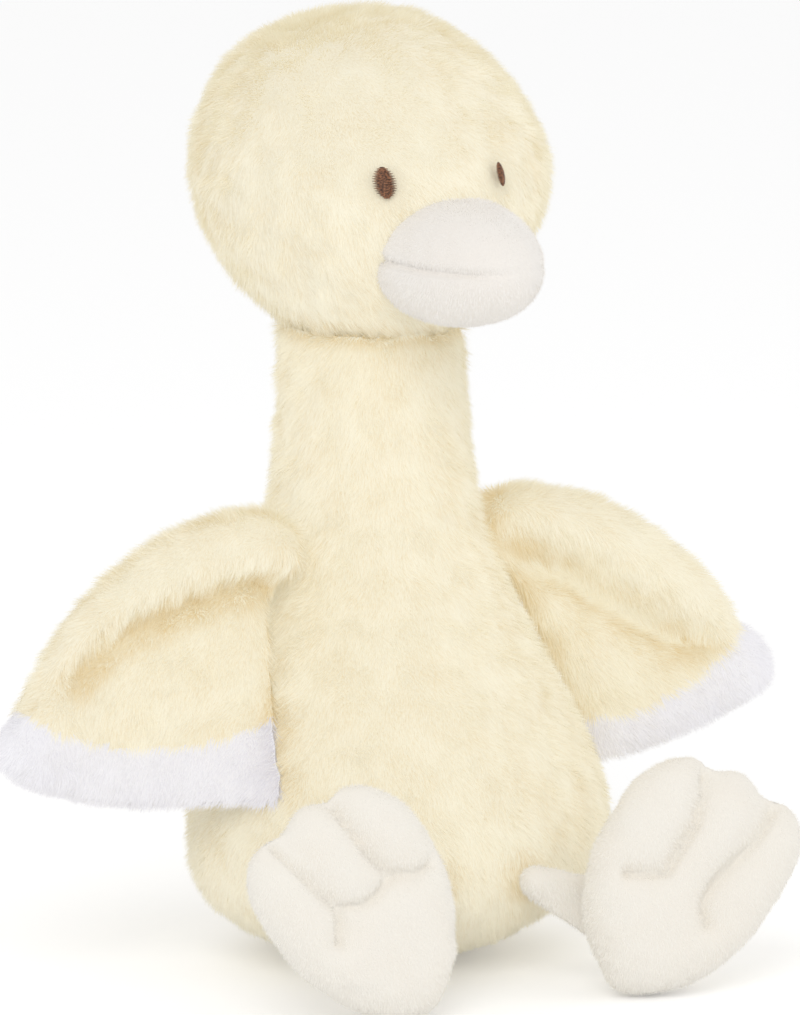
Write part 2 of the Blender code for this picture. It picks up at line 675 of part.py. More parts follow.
def make_leg(side, name, frame, end):
    """A short stuffed velour tube, gathered to a small end at the hip and flaring onto the foot."""
    half_width, half_depth, setback, slope = body_at(HIP_HEIGHT)
    depth_here = half_depth * math.sqrt(1 - (HIP_OUT[side] / half_width) ** 2)
    hip = Vector((side * HIP_OUT[side], setback - depth_here - HIP_RADIUS - GAP, HIP_HEIGHT))
    run = (end - hip).normalized()
    up = (Vector((0.0, 0.0, 1.0)) - run * run.z).normalized()
    fore = run.cross(up) * side
    inward = -frame.across
    lift = frame.front.cross(inward).normalized()
    if lift.z < 0:
        lift = -lift
    turn = [2 * math.pi * step / LEG_SIDES for step in range(LEG_SIDES)]
    made = []
    for angle in (math.radians(72), math.radians(40)):
        small = HIP_RADIUS * math.cos(angle)
        made.append([hip - run * (HIP_RADIUS * math.sin(angle)) + fore * (small * math.cos(a))
                     + up * (small * math.sin(a)) for a in turn])
    first = [hip + fore * (HIP_RADIUS * math.cos(a)) + up * (HIP_RADIUS * math.sin(a)) for a in turn]
    last = [end + inward * (LEG_END_WIDTH * math.cos(a)) + lift * (LEG_END_HEIGHT * math.sin(a)) for a in turn]
    for step in range(LEG_STEPS + 1):
        share = step / LEG_STEPS
        made.append([low.lerp(high, share) for low, high in zip(first, last)])
    leg = piece(name, loft(made), VELOUR, 0.85)
    carrier = pivot(name + "_swing_axis", hip)
    hang(leg, carrier, hip)
    return carrier, hip


def make_duck():
    make_body()
    make_tail()
    make_head()
    for side, word in ((-1, "right"), (1, "left")):
        make_wing(side, "wing_" + word)
        frame, end, foot_carrier = make_foot(side, "foot_" + word)
        leg_carrier, hip = make_leg(side, "leg_" + word, frame, end)
        foot_carrier.location -= hip
        foot_carrier.parent = leg_carrier


make_duck()
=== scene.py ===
"""Looks of the seated plush duck: stuffed skins with a pile of real fibres, velour feet and stitched eyes."""

import math

import bmesh
import bpy
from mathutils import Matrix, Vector, noise
from mathutils.bvhtree import BVHTree


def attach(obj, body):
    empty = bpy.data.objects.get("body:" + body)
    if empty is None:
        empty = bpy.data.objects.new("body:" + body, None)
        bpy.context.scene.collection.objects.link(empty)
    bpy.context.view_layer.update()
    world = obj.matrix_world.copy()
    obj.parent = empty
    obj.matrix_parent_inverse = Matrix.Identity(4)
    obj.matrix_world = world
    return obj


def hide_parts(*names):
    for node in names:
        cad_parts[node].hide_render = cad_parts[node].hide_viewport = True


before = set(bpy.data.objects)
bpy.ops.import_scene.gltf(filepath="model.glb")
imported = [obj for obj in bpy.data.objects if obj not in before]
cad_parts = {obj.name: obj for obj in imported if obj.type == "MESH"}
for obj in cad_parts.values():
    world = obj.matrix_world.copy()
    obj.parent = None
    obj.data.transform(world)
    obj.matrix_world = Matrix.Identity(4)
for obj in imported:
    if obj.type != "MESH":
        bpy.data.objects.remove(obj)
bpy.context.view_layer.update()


# Studio
# A pale seamless floor and soft light from all round, with a larger softbox high on the left.
# The camera is a long lens at the photograph's angle, a little above the duck and to its right.

FLOOR_WHITE = (0.97, 0.97, 0.97, 1.0)
FLOOR_SIZE = 14.0
CAMERA_AZIMUTH = math.radians(-28)
CAMERA_ELEVATION = math.radians(11)
CAMERA_DISTANCE = 2.6
CAMERA_AIM = Vector((0.0, 0.0, 0.140))
VIEW_WIDTH = 0.244
SENSOR_WIDTH = 36.0
SKY_LEVEL = 0.80
PAPER_LIFT = 0.17
LAMPS = (
    ("softbox", Vector((-0.75, -1.05, 1.15)), 0.9, 6.2),
    ("fill", Vector((1.2, -0.9, 0.7)), 1.0, 2.0),
)


def new_material(name):
    """A new material with its nodes, its links and its shader."""
    made = bpy.data.materials.new(name)
    made.use_nodes = True
    return made, made.node_tree.nodes, made.node_tree.links, made.node_tree.nodes["Principled BSDF"]


def add_object(name, mesh):
    made = bpy.data.objects.new(name, mesh)
    bpy.context.scene.collection.objects.link(made)
    return made


def mesh_from(name, bm):
    mesh = bpy.data.meshes.new(name)
    bm.to_mesh(mesh)
    bm.free()
    return mesh


def aim(made, place, target):
    """Put a lamp or a camera at a place and turn it to its target."""
    made.location = place
    made.rotation_euler = (target - place).to_track_quat("-Z", "Y").to_euler()


floor_material, nodes, links, shader = new_material("pale studio paper")
shader.inputs["Base Color"].default_value = FLOOR_WHITE
shader.inputs["Roughness"].default_value = 0.9
shader.inputs["Specular IOR Level"].default_value = 0.1
rays = nodes.new("ShaderNodeLightPath")
seen_by = rays.outputs["Is Camera Ray"]
for kind in ("Is Glossy Ray", "Is Transmission Ray"):
    either = nodes.new("ShaderNodeMath")
    either.operation = "MAXIMUM"
    links.new(seen_by, either.inputs[0])
    links.new(rays.outputs[kind], either.inputs[1])
    seen_by = either.outputs["Value"]
paper_white = nodes.new("ShaderNodeMath")
paper_white.operation = "MULTIPLY"
paper_white.inputs[1].default_value = PAPER_LIFT
links.new(seen_by, paper_white.inputs[0])
shader.inputs["Emission Color"].default_value = (1.0, 1.0, 1.0, 1.0)
links.new(paper_white.outputs["Value"], shader.inputs["Emission Strength"])
bm = bmesh.new()
bmesh.ops.create_grid(bm, x_segments=1, y_segments=1, size=FLOOR_SIZE / 2)
floor = add_object("studio_floor", mesh_from("studio_floor", bm))
floor.data.materials.append(floor_material)

world = bpy.data.worlds.new("studio")
world.use_nodes = True
bpy.context.scene.world = world
background = world.node_tree.nodes["Background"]
path = world.node_tree.nodes.new("ShaderNodeLightPath")
seen = world.node_tree.nodes.new("ShaderNodeMix")
seen.data_type = "RGBA"
seen.inputs["A"].default_value = (SKY_LEVEL, SKY_LEVEL, SKY_LEVEL, 1.0)
seen.inputs["B"].default_value = (1.0, 1.0, 1.0, 1.0)
world.node_tree.links.new(path.outputs["Is Camera Ray"], seen.inputs["Factor"])
world.node_tree.links.new(seen.outputs["Result"], background.inputs["Color"])

for name, place, size, power in LAMPS:
    lamp = bpy.data.lights.new(name, "AREA")
    lamp.shape = "DISK"
    lamp.size = size
    lamp.energy = power
    light = bpy.data.objects.new(name, lamp)
    bpy.context.scene.collection.objects.link(light)
    aim(light, place, CAMERA_AIM)

lens = bpy.data.cameras.new("camera")
lens.sensor_fit = "HORIZONTAL"
lens.sensor_width = SENSOR_WIDTH
lens.lens = SENSOR_WIDTH * CAMERA_DISTANCE / VIEW_WIDTH
camera = bpy.data.objects.new("camera", lens)
bpy.context.scene.collection.objects.link(camera)
backward = Vector((math.sin(CAMERA_AZIMUTH) * math.cos(CAMERA_ELEVATION),
                   -math.cos(CAMERA_AZIMUTH) * math.cos(CAMERA_ELEVATION), math.sin(CAMERA_ELEVATION)))
aim(camera, CAMERA_AIM + backward * CAMERA_DISTANCE, CAMERA_AIM)
bpy.context.scene.camera = camera
bpy.context.scene.view_settings.view_transform = "Standard"


# Body and neck
# One tall cover of pale yellow plush over fibre and a weight bag, sewn to the head at the neck's top.
# Its skin is the woven backing, and the pile is made fibre by fibre: short, dense, combed down, in
# soft tufts, and fuller where a wing, a leg or the head presses on it, with painted shade darkening it there.

FUR_TIP = (0.925, 0.87, 0.70)
# The root colour is painted shade deep in the pile; the tips keep the plush's own colour.
FUR_ROOT = (0.76, 0.61, 0.36)
BACKING = (0.90, 0.83, 0.64)
FUR_LENGTH = 0.0048
FUR_WIDTH = 0.00022
FUR_PER_MM2 = 7.0
FUR_LEAN = 1.2
FIBRE_SIZES = (0.6, 1.15)
STRAY = 0.35
ROLLED = 0.5
TUFT = 0.008
SWIRL = 1.9
PATCH_SCALE = 70.0
PATCH_TONE = 0.9
FLECK = 0.15
FOLD_FULLNESS = 0.7
# Painted shade: how far a fold draws a fibre's colour down towards its root colour.
FOLD_PAINTED_SHADE = -1.1
FLANK_REACH = 0.0075
FLANK_FOLD = 0.75
NECK_REACH = 0.0055
NECK_FOLD = 0.55
SKIN_INSET = 0.0010
BODY_VOXEL = 0.0022
BODY_LUMPS = ((0.0013, 0.026, 3), (0.0004, 0.009, 4))
NECK_START = 0.125
SEAT_PILE = 0.15
SEAT_RISE = 0.012
CLOTH_PRESSURE = 2500.0
CLOTH_MASS = 0.002
CLOTH_FRAMES = 20
DOWN = Vector((0.0, 0.0, -1.0))


def settle(made):
    """Put a piece's modifiers into its mesh."""
    graph = bpy.context.evaluated_depsgraph_get()
    mesh = bpy.data.meshes.new_from_object(made.evaluated_get(graph))
    made.modifiers.clear()
    made.data = mesh


def edit(made, change):
    """Change a mesh in place."""
    bm = bmesh.new()
    bm.from_mesh(made.data)
    change(bm)
    bm.to_mesh(made.data)
    bm.free()


def remesh(made, voxel):
    modifier = made.modifiers.new("skin", "REMESH")
    modifier.mode = "VOXEL"
    modifier.voxel_size = voxel
    settle(made)


def move_points(made, offset):
    """Move each point by offset(place, normal)."""
    def change(bm):
        bm.normal_update()
        moved = [(vert, offset(vert.co, vert.normal)) for vert in bm.verts]
        for vert, step in moved:
            vert.co += step
    edit(made, change)


def stuffed_skin(name, nodes, voxel, rounds=4, closing=0.0):
    """One closed soft skin round some CAD nodes: remeshed in voxels, joined over narrow gaps and smoothed."""
    bm = bmesh.new()
    for node in nodes:
        bm.from_mesh(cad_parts[node].data)
    bmesh.ops.remove_doubles(bm, verts=bm.verts, dist=1e-6)
    made = add_object(name, mesh_from(name, bm))
    made.data.materials.clear()
    remesh(made, voxel)
    if closing:
        move_points(made, lambda place, normal: normal * closing)
        remesh(made, voxel)
        move_points(made, lambda place, normal: normal * -closing)

    def soften(bm):
        for _ in range(rounds):
            bmesh.ops.smooth_vert(bm, verts=bm.verts, factor=0.5, use_axis_x=True, use_axis_y=True, use_axis_z=True)
    edit(made, soften)
    made.data.shade_smooth()
    return made


def subdivide(made):
    finer = made.modifiers.new("finer", "SUBSURF")
    finer.levels = finer.render_levels = 1
    settle(made)


def inflate(made, held, reach):
    """Blow a skin up as cloth while some points are held, and let each point move only so far."""
    scene = bpy.context.scene
    group = made.vertex_groups.new(name="held")
    for vert in made.data.vertices:
        group.add([vert.index], held(vert.co), "REPLACE")
    cloth = made.modifiers.new("stuffing", "CLOTH")
    cloth.settings.vertex_group_mass = "held"
    cloth.settings.mass = CLOTH_MASS
    cloth.settings.quality = 5
    cloth.settings.use_pressure = True
    cloth.settings.uniform_pressure_force = CLOTH_PRESSURE
    cloth.settings.effector_weights.gravity = 0.0
    cloth.point_cache.frame_start = 1
    cloth.point_cache.frame_end = CLOTH_FRAMES
    for step in range(1, CLOTH_FRAMES + 1):
        scene.frame_set(step)
    blown = made.evaluated_get(bpy.context.evaluated_depsgraph_get()).to_mesh()
    moves = [after.co - before.co for after, before in zip(blown.vertices, made.data.vertices)]
    made.evaluated_get(bpy.context.evaluated_depsgraph_get()).to_mesh_clear()
    made.modifiers.clear()
    made.vertex_groups.clear()
    scene.frame_set(1)
    for vert, move in zip(made.data.vertices, moves):
        vert.co += move * min(1.0, reach / max(move.length, 1e-9))


def uneven(rows, shrinkage=0.0):
    """Offsets that draw a skin in under its pile, with soft lumps of some heights and sizes."""
    def offset(place, normal):
        rise = sum(height * noise.noise(place / size + Vector((seed, 2.3 * seed, -seed)))
                   for height, size, seed in rows)
        return normal * (rise - SKIN_INSET + shrinkage)
    return offset


def nearest_to(nodes):
    """Measure how far a place is from some CAD nodes."""
    trees = []
    for node in nodes:
        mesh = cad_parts[node].data
        trees.append(BVHTree.FromPolygons([vert.co for vert in mesh.vertices],
                                          [face.vertices for face in mesh.polygons]))
    return lambda place: min(tree.find_nearest(place)[3] for tree in trees)


def crowding(nodes, reach):
    """From 1 where a place touches some other pieces to 0 at that reach from them."""
    to_others = nearest_to(nodes)
    return lambda place: max(0.0, 1.0 - to_others(place) / reach)


def comb(made, nap, cover=lambda place: 1.0, fold=lambda place: 0.0):
    """Store for each point which way the pile lies, how long it is and how deep in a fold it is."""
    mesh = made.data
    directions, lengths, folds = [], [], []
    for vert in mesh.vertices:
        along = nap(vert.co)
        directions.extend((along - vert.normal * along.dot(vert.normal)).normalized())
        depth = fold(vert.co)
        folds.append(depth)
        lengths.append(cover(vert.co) + FOLD_FULLNESS * depth)
    for name, kind, key, values in (
        ("nap", "FLOAT_VECTOR", "vector", directions),
        ("pile", "FLOAT", "value", lengths),
        ("fold", "FLOAT", "value", folds),
    ):
        mesh.attributes.new(name, kind, "POINT").data.foreach_set(key, values)


def plush(name, tip, root, sheen=0.1):
    """Pile with painted shade that darkens it towards its roots, with small uneven patches."""
    made, nodes, links, shader = new_material(name)
    height = nodes.new("ShaderNodeAttribute")
    height.attribute_name = "tip"
    shade = nodes.new("ShaderNodeAttribute")
    shade.attribute_name = "shade"
    depth = nodes.new("ShaderNodeMath")
    depth.operation = "MULTIPLY_ADD"
    depth.inputs[1].default_value = PATCH_TONE
    links.new(shade.outputs["Fac"], depth.inputs[0])
    links.new(height.outputs["Fac"], depth.inputs[2])
    color = nodes.new("ShaderNodeMix")
    color.data_type = "RGBA"
    color.inputs["A"].default_value = (*root, 1.0)
    color.inputs["B"].default_value = (*tip, 1.0)
    links.new(depth.outputs["Value"], color.inputs["Factor"])
    links.new(color.outputs["Result"], shader.inputs["Base Color"])
    shader.inputs["Roughness"].default_value = 0.85
    shader.inputs["Specular IOR Level"].default_value = 0.15
    shader.inputs["Sheen Weight"].default_value = sheen
    shader.inputs["Sheen Roughness"].default_value = 0.6
    return made


def backing(name, color):
    """The woven ground under a pile."""
    made, nodes, links, shader = new_material(name)
    place = nodes.new("ShaderNodeTexCoord")
    patches = nodes.new("ShaderNodeTexNoise")
    patches.inputs["Scale"].default_value = 90.0
    patches.inputs["Detail"].default_value = 3.0
    links.new(place.outputs["Object"], patches.inputs["Vector"])
    tint = nodes.new("ShaderNodeMix")
    tint.data_type = "RGBA"
    tint.inputs["A"].default_value = (*[0.90 * part for part in color], 1.0)
    tint.inputs["B"].default_value = (*color, 1.0)
    links.new(patches.outputs["Fac"], tint.inputs["Factor"])
    links.new(tint.outputs["Result"], shader.inputs["Base Color"])
    shader.inputs["Roughness"].default_value = 1.0
    shader.inputs["Specular IOR Level"].default_value = 0.05
    return made


def centre(face):
    return face.calc_center_median()


def only(skin, region):
    """A copy of a skin, with just the faces in a region."""
    part = add_object("region", skin.data.copy())

    def crop(bm):
        doomed = [face for face in bm.faces if not region(face)]
        bmesh.ops.delete(bm, geom=doomed, context="FACES")
    edit(part, crop)
    return part


def grow_pile(skin, name, material, per_mm2, length, width, lean, seed, region=None):
    """Plant slim flat fibres all over a combed skin, lying like shingles, as a mesh of their own.

    The fibres cast no shadow, which stands in for the light that real ones let through.
    """
    tree = bpy.data.node_groups.new(name, "GeometryNodeTree")
    tree.interface.new_socket("Geometry", in_out="INPUT", socket_type="NodeSocketGeometry")
    tree.interface.new_socket("Geometry", in_out="OUTPUT", socket_type="NodeSocketGeometry")

    def fill(socket, value):
        if isinstance(value, bpy.types.NodeSocket):
            tree.links.new(value, socket)
        else:
            socket.default_value = value

    def add(kind, settings=(), **inputs):
        """A new node. An input i0, i1 or i2 goes by its number, and any other by its name."""
        made = tree.nodes.new(kind)
        for key, value in dict(settings).items():
            setattr(made, key, value)
        for key, value in inputs.items():
            numbered = key[0] == "i" and key[1:].isdigit()
            fill(made.inputs[int(key[1:]) if numbered else key], value)
        return made.outputs

    def vector(operation, *inputs):
        made = tree.nodes.new("ShaderNodeVectorMath")
        made.operation = operation
        for socket, value in zip(made.inputs, inputs):
            fill(socket, value)
        return made.outputs["Vector"]

    def scattered(reach, step):
        return add("FunctionNodeRandomValue", {"data_type": "FLOAT_VECTOR"}, Min=(-reach,) * 3, Max=(reach,) * 3,
                   Seed=seed + step)["Value"]

    ground = add("NodeGroupInput")["Geometry"]
    cover = add("GeometryNodeInputNamedAttribute", {"data_type": "FLOAT"}, Name="pile")["Attribute"]
    scatter = add("GeometryNodeDistributePointsOnFaces", Mesh=ground, Density=per_mm2 * 1e6, Seed=seed)
    normal = scatter["Normal"]
    nap = add("GeometryNodeInputNamedAttribute", {"data_type": "FLOAT_VECTOR"}, Name="nap")["Attribute"]
    place = add("GeometryNodeInputPosition")["Position"]
    whirl = add("ShaderNodeTexNoise", Vector=place, Scale=1 / TUFT, Detail=1.0)["Color"]
    whirl = vector("SUBTRACT", whirl, (0.5, 0.5, 0.5))
    whirl = vector("MULTIPLY", whirl, (SWIRL, SWIRL, SWIRL))
    lie = vector("MULTIPLY", vector("ADD", nap, whirl), (lean, lean, lean))
    direction = vector("ADD", vector("ADD", normal, lie), scattered(STRAY, 1))
    turned = add("FunctionNodeAlignRotationToVector", {"axis": "Z"}, Vector=direction)["Rotation"]
    under = vector("MULTIPLY", vector("ADD", normal, scattered(ROLLED, 2)), (-1.0, -1.0, -1.0))
    turned = add("FunctionNodeAlignRotationToVector", {"axis": "X", "pivot_axis": "Z"}, Rotation=turned,
                 Vector=under)["Rotation"]
    vary = add("FunctionNodeRandomValue", {"data_type": "FLOAT"}, i2=FIBRE_SIZES[0], i3=FIBRE_SIZES[1],
               Seed=seed + 3)[1]
    size = add("ShaderNodeMath", {"operation": "MULTIPLY"}, i0=vary, i1=cover)["Value"]

    # A triangle in a circle of radius 1 is 1.5 long and the square root of 3 wide.
    fibre = add("GeometryNodeMeshCircle", {"fill_type": "NGON"}, Vertices=3, Radius=1.0)["Mesh"]
    fibre = add("GeometryNodeTransform", Geometry=fibre, Translation=(0.0, 0.0, length / 3),
                Rotation=(0.0, math.radians(-90), 0.0), Scale=(length / 1.5, width / 1.732, 1.0))["Geometry"]
    rise = add("ShaderNodeSeparateXYZ", Vector=add("GeometryNodeInputPosition")["Position"])["Z"]
    rise = add("ShaderNodeMath", {"operation": "DIVIDE"}, i0=rise, i1=length)["Value"]
    fibre = add("GeometryNodeStoreNamedAttribute", {"data_type": "FLOAT", "domain": "POINT"}, Geometry=fibre,
                Name="tip", Value=rise)["Geometry"]
    planted = add("GeometryNodeInstanceOnPoints", Points=scatter["Points"], Instance=fibre, Rotation=turned, Scale=size)

    # Each fibre is lighter or darker by its patch and by chance, and darker by how deep in a fold it stands, which is
    # painted shade.
    tone = add("ShaderNodeTexNoise", Vector=place, Scale=PATCH_SCALE, Detail=2.0)["Fac"]
    fleck = add("FunctionNodeRandomValue", {"data_type": "FLOAT"}, i2=-FLECK, i3=FLECK, Seed=seed + 4)[1]
    tone = add("ShaderNodeMath", {"operation": "ADD"}, i0=tone, i1=fleck)["Value"]
    fold = add("GeometryNodeInputNamedAttribute", {"data_type": "FLOAT"}, Name="fold")["Attribute"]
    tone = add("ShaderNodeMath", {"operation": "MULTIPLY_ADD"}, i0=fold, i1=FOLD_PAINTED_SHADE, i2=tone)["Value"]
    toned = add("GeometryNodeStoreNamedAttribute", {"data_type": "FLOAT", "domain": "INSTANCE"},
                Geometry=planted["Instances"], Name="shade", Value=tone)["Geometry"]
    whole = add("GeometryNodeRealizeInstances", Geometry=toned)["Geometry"]
    tree.links.new(whole, tree.nodes.new("NodeGroupOutput").inputs["Geometry"])

    ground_skin = only(skin, region) if region else skin
    grower = ground_skin.modifiers.new("pile", "NODES")
    grower.node_group = tree
    graph = bpy.context.evaluated_depsgraph_get()
    mesh = bpy.data.meshes.new_from_object(ground_skin.evaluated_get(graph))
    ground_skin.modifiers.remove(grower)
    if region:
        bpy.data.objects.remove(ground_skin)
    made = add_object(name, mesh)
    mesh.materials.clear()
    mesh.materials.append(material)
    mesh.shade_flat()
    made.visible_shadow = False
    made.visible_diffuse = False
    return made


yellow_plush = plush("pale yellow plush", FUR_TIP, FUR_ROOT)
yellow_backing = backing("yellow backing", BACKING)
body = stuffed_skin("body_skin", ("body_cover", "body_filling", "bean_bag"), BODY_VOXEL)
move_points(body, uneven(BODY_LUMPS))
body.data.materials.append(yellow_backing)
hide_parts("body_cover", "body_filling", "bean_bag")
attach(body, "torso")
WING_PANELS = [f"wing_{word}_{part}" for word in ("right", "left") for part in ("front", "back", "trim")]
# Near the wings, the legs and the head the pile is fuller, and darkened there with painted shade.
at_limbs = crowding(WING_PANELS + ["leg_right", "leg_left"], FLANK_REACH)
at_head = crowding(["head_cover"], NECK_REACH)
comb(body, lambda place: DOWN, lambda place: min(SEAT_PILE + place.z / SEAT_RISE, 1.0),
     lambda place: max(FLANK_FOLD * at_limbs(place), NECK_FOLD * at_head(place)))
for name, region, seed in (
    ("body_front_pile", lambda face: centre(face).z < NECK_START and centre(face).y < 0.0, 11),
    ("body_back_pile", lambda face: centre(face).z < NECK_START and centre(face).y >= 0.0, 12),
    ("neck_pile", lambda face: centre(face).z >= NECK_START, 13),
):
    pile = grow_pile(body, name, yellow_plush, FUR_PER_MM2, FUR_LENGTH, FUR_WIDTH, FUR_LEAN, seed, region)
    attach(pile, "torso")


# Tail
# A small stuffed tail of the same plush, sewn low on the back.
# Its pile is combed out along it.

TAIL_VOXEL = 0.0018
TAIL_NAP = Vector((0.0, 0.7, 0.3))

tail = stuffed_skin("tail_skin", ("tail",), TAIL_VOXEL)
move_points(tail, uneven(()))
tail.data.materials.append(yellow_backing)
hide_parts("tail")
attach(tail, "torso")
comb(tail, lambda place: TAIL_NAP)
tail_pile = grow_pile(tail, "tail_pile", yellow_plush, FUR_PER_MM2, FUR_LENGTH, FUR_WIDTH, FUR_LEAN, seed=17)
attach(tail_pile, "torso")


# Head
# A round head of the same plush, stuffed with fibre and sewn to the neck's top. Its pile is combed
# from a whorl at the back of the crown, and is clipped short round the embroidered eyes.

HEAD_LUMPS = ((0.0011, 0.026, 8), (0.0004, 0.009, 9))
HEAD_WHORL = Vector((-0.012, 0.045, 0.285))
HEAD_MIDDLE = 0.018
EYE_PLACES = {"eye_right": Vector((-0.0220, -0.0313, 0.2461)), "eye_left": Vector((0.0168, -0.0333, 0.2461))}
EYE_PILE = 0.35
EYE_CLIPPED = 0.0045
EYE_FADE = 0.0075

head = stuffed_skin("head_skin", ("head_cover", "head_filling"), BODY_VOXEL)
move_points(head, uneven(HEAD_LUMPS))
head.data.materials.append(yellow_backing)
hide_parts("head_cover", "head_filling")
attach(head, "head")


def clipped(place):
    """How long the pile is, from short beside an eye to its whole length."""
    nearest = min((place - eye).length for eye in EYE_PLACES.values())
    return EYE_PILE + (1.0 - EYE_PILE) * min(max((nearest - EYE_CLIPPED) / EYE_FADE, 0.0), 1.0)


# At the neck the pile is fuller, and darkened there with painted shade.
at_neck = crowding(["body_cover"], NECK_REACH)
comb(head, lambda place: place - HEAD_WHORL, clipped, lambda place: NECK_FOLD * at_neck(place))
for name, region, seed in (
    ("face_pile", lambda face: centre(face).y < HEAD_MIDDLE, 23),
    ("head_back_pile", lambda face: centre(face).y >= HEAD_MIDDLE, 24),
):
    pile = grow_pile(head, name, yellow_plush, FUR_PER_MM2, FUR_LENGTH, FUR_WIDTH, FUR_LEAN, seed, region)
    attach(pile, "head")


# Bill
# Two panels of off-white velour, sewn to each other at the mouth and to the face at their back, and
# stuffed round. The skin is drawn in at the mouth seam, and carries a very short fuzz.

VELOUR = (0.86, 0.83, 0.79)
# The bill's fuzz is darkened towards its roots by this share, as painted shade.
VELOUR_ROOTS = 0.93
BILL_VOXEL = 0.0011
BILL_CLOSING = 0.001
MOUTH_DEPTH = 0.0024
MOUTH_WIDTH = 0.0011
MOUTH_END = 0.004
MOUTH_RUN = 0.016
MOUTH_FADED = 0.15
FUZZ_LENGTH = 0.0013
FUZZ_WIDTH = 0.00018
FUZZ_PER_MM2 = 4.0
FUZZ_LEAN = 0.9


def velour(name, color):
    """Short dense pile: a fine nap, with faint patches where it is brushed another way."""
    made, nodes, links, shader = new_material(name)
    place = nodes.new("ShaderNodeTexCoord")
    brushed = nodes.new("ShaderNodeTexNoise")
    brushed.inputs["Scale"].default_value = 60.0
    brushed.inputs["Detail"].default_value = 4.0
    links.new(place.outputs["Object"], brushed.inputs["Vector"])
    tint = nodes.new("ShaderNodeMix")
    tint.data_type = "RGBA"
    tint.inputs["A"].default_value = (color[0] * 0.97, color[1] * 0.94, color[2] * 0.91, 1.0)
    tint.inputs["B"].default_value = (*color, 1.0)
    links.new(brushed.outputs["Fac"], tint.inputs["Factor"])
    links.new(tint.outputs["Result"], shader.inputs["Base Color"])
    grain = nodes.new("ShaderNodeTexNoise")
    grain.inputs["Scale"].default_value = 2200.0
    grain.inputs["Detail"].default_value = 2.0
    links.new(place.outputs["Object"], grain.inputs["Vector"])
    bump = nodes.new("ShaderNodeBump")
    bump.inputs["Strength"].default_value = 0.35
    bump.inputs["Distance"].default_value = 0.0004
    links.new(grain.outputs["Fac"], bump.inputs["Height"])
    links.new(bump.outputs["Normal"], shader.inputs["Normal"])
    shader.inputs["Roughness"].default_value = 0.9
    shader.inputs["Specular IOR Level"].default_value = 0.1
    shader.inputs["Sheen Weight"].default_value = 0.4
    shader.inputs["Sheen Roughness"].default_value = 0.5
    return made


bill_velour = velour("bill velour", VELOUR)
bill = stuffed_skin("bill", ("beak_upper", "beak_lower"), BILL_VOXEL, rounds=6, closing=BILL_CLOSING)
to_upper, to_lower = nearest_to(["beak_upper"]), nearest_to(["beak_lower"])


def mouth(place, normal):
    """Draw the skin in along the seam between the two bill panels, deepest at the corner of the mouth."""
    apart = to_upper(place) - to_lower(place)
    pull = MOUTH_FADED + (1.0 - MOUTH_FADED) * min(max((MOUTH_END - place.x) / MOUTH_RUN, 0.0), 1.0)
    return normal * -MOUTH_DEPTH * pull * math.exp(-(apart / MOUTH_WIDTH) ** 2)


move_points(bill, mouth)
bill.data.materials.append(bill_velour)
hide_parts("beak_upper", "beak_lower")
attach(bill, "head")
comb(bill, lambda place: DOWN)
bill_pile = plush("bill fuzz", VELOUR, [VELOUR_ROOTS * part for part in VELOUR])
bill_fuzz = grow_pile(bill, "bill_fuzz", bill_pile, FUZZ_PER_MM2, FUZZ_LENGTH, FUZZ_WIDTH, FUZZ_LEAN, seed=29)
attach(bill_fuzz, "head")


# Eyes
# Two ovals of brown satin stitch, sewn through the face: slim threads side by side across each eye,
# arched over a little padding, with ends that don't quite line up. Each leans as it does on the duck.

THREAD_DARK = (0.050, 0.017, 0.007, 1.0)
THREAD_PAINTED_HIGHLIGHT = (0.32, 0.135, 0.060, 1.0)
EYE_SHAPES = {"eye_right": (1.05, 0.95, -0.22), "eye_left": (0.50, 0.74, -0.50)}
EYE_RISE = 0.004
EYE_THREADS = 26
THREAD_THICK = 0.00022
THREAD_ARCH = 0.0008
THREAD_RAGGED = 0.11
THREAD_LIFT = -0.0003

thread, nodes, links, shader = new_material("brown thread")
place = nodes.new("ShaderNodeTexCoord")
along_threads = nodes.new("ShaderNodeMapping")
along_threads.inputs["Scale"].default_value = (1500.0, 1500.0, 2600.0)
links.new(place.outputs["Object"], along_threads.inputs["Vector"])
# Painted highlight: a fine noise mixes the dark brown with a lighter one, where the twist of the threads would catch
# the light.
twist = nodes.new("ShaderNodeTexNoise")
twist.inputs["Scale"].default_value = 1.0
twist.inputs["Detail"].default_value = 1.0
links.new(along_threads.outputs["Vector"], twist.inputs["Vector"])
shine = nodes.new("ShaderNodeMapRange")
shine.inputs["From Min"].default_value = 0.36
shine.inputs["From Max"].default_value = 0.66
links.new(twist.outputs["Fac"], shine.inputs["Value"])
brown = nodes.new("ShaderNodeMix")
brown.data_type = "RGBA"
brown.inputs["A"].default_value = THREAD_DARK
brown.inputs["B"].default_value = THREAD_PAINTED_HIGHLIGHT
links.new(shine.outputs["Result"], brown.inputs["Factor"])
links.new(brown.outputs["Result"], shader.inputs["Base Color"])
shader.inputs["Roughness"].default_value = 0.45
shader.inputs["Sheen Weight"].default_value = 0.05

